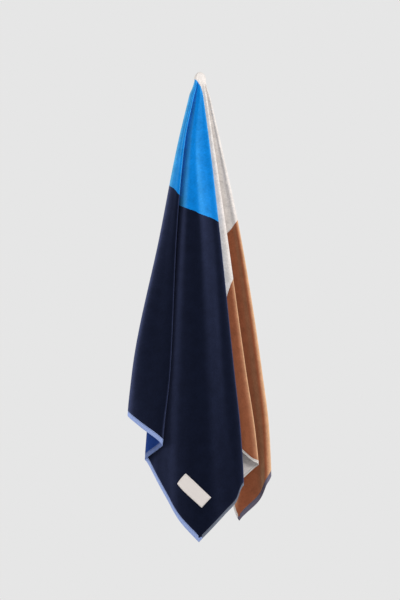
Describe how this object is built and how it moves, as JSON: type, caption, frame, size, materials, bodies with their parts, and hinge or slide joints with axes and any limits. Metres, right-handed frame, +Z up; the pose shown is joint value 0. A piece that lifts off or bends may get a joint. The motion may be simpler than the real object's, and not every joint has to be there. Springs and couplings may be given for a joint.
{
  "type": "beach towel",
  "caption": "Beach towel hung from one point of its long edge, falling in a narrow pointed drape of sharp pleats with colour blocks.",
  "frame": {"origin": "middle of the cloth's thickness at the hang point, the highest point of the towel's long edge", "axes": "+Z up, +X to the right as seen from the front, +Y from the front towards the wall side"},
  "size_m": [0.3752, 0.1229, 1.2165],
  "materials": {
    "terry_cloth": "sheared velour pile on the front, uncut loops on the back",
    "woven_tape": "flat satin weave, bare"
  },
  "bodies": {
    "root": {"towel_cloth": "terry_cloth", "sewn_label": "woven_tape"}
  },
  "joints": []
}
